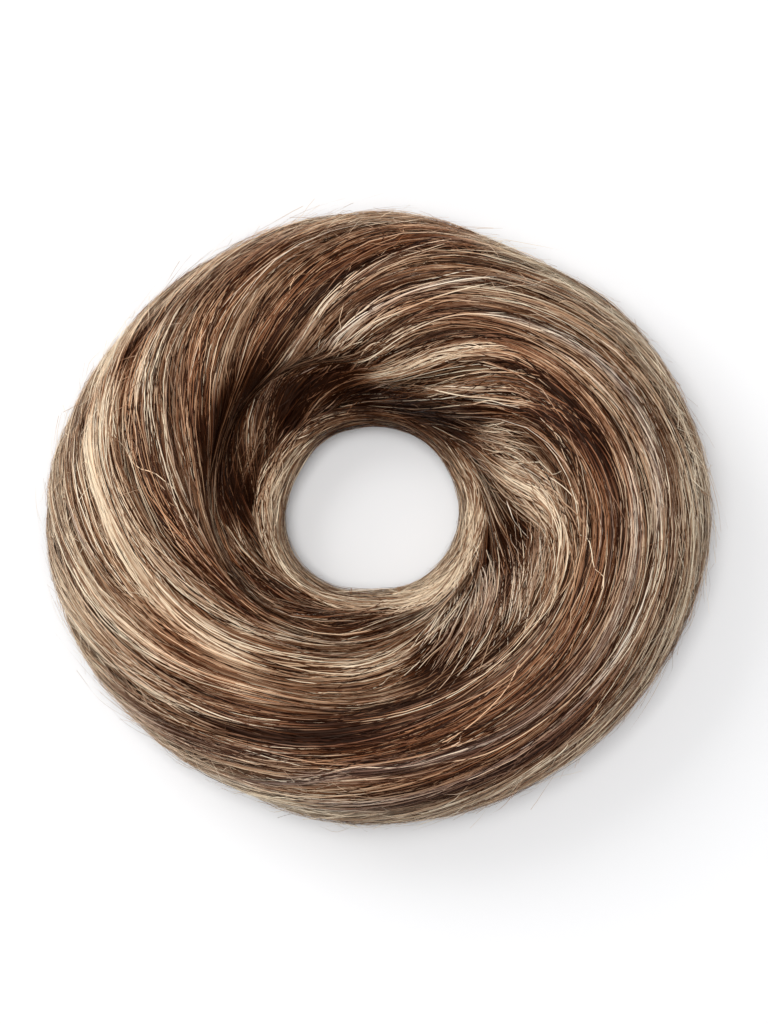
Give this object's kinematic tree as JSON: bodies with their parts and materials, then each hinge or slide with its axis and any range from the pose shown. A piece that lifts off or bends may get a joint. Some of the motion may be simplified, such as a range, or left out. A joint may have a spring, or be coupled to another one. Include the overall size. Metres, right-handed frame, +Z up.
{
  "type": "top knot hairpiece",
  "caption": "Ring-shaped top knot hairpiece of wavy false hair in mixed brown and blond, wound in a spiral on an elastic band.",
  "frame": {"origin": "middle of the bounding box of the ring, on its flat underside", "axes": "+X to the right of the picture and +Y to its top, seen from above; +Z up along the axis of the hole"},
  "size_m": [0.1502, 0.1374, 0.0409],
  "materials": {
    "elastic": "matt",
    "hair_dark": "soft sheen",
    "hair_brown": "soft sheen",
    "hair_taupe": "soft sheen",
    "hair_blond": "soft sheen"
  },
  "bodies": {
    "root": {"elastic_band": "elastic", "inner_wrap": "hair_blond", "hair_roll": "hair_dark", "lock_01": "hair_blond", "lock_02": "hair_taupe", "lock_03": "hair_brown", "lock_04": "hair_taupe", "lock_05": "hair_brown", "lock_06": "hair_taupe", "lock_07": "hair_dark", "lock_08": "hair_brown", "lock_09": "hair_blond", "lock_10": "hair_taupe", "lock_11": "hair_brown", "lock_12": "hair_taupe"}
  },
  "joints": []
}
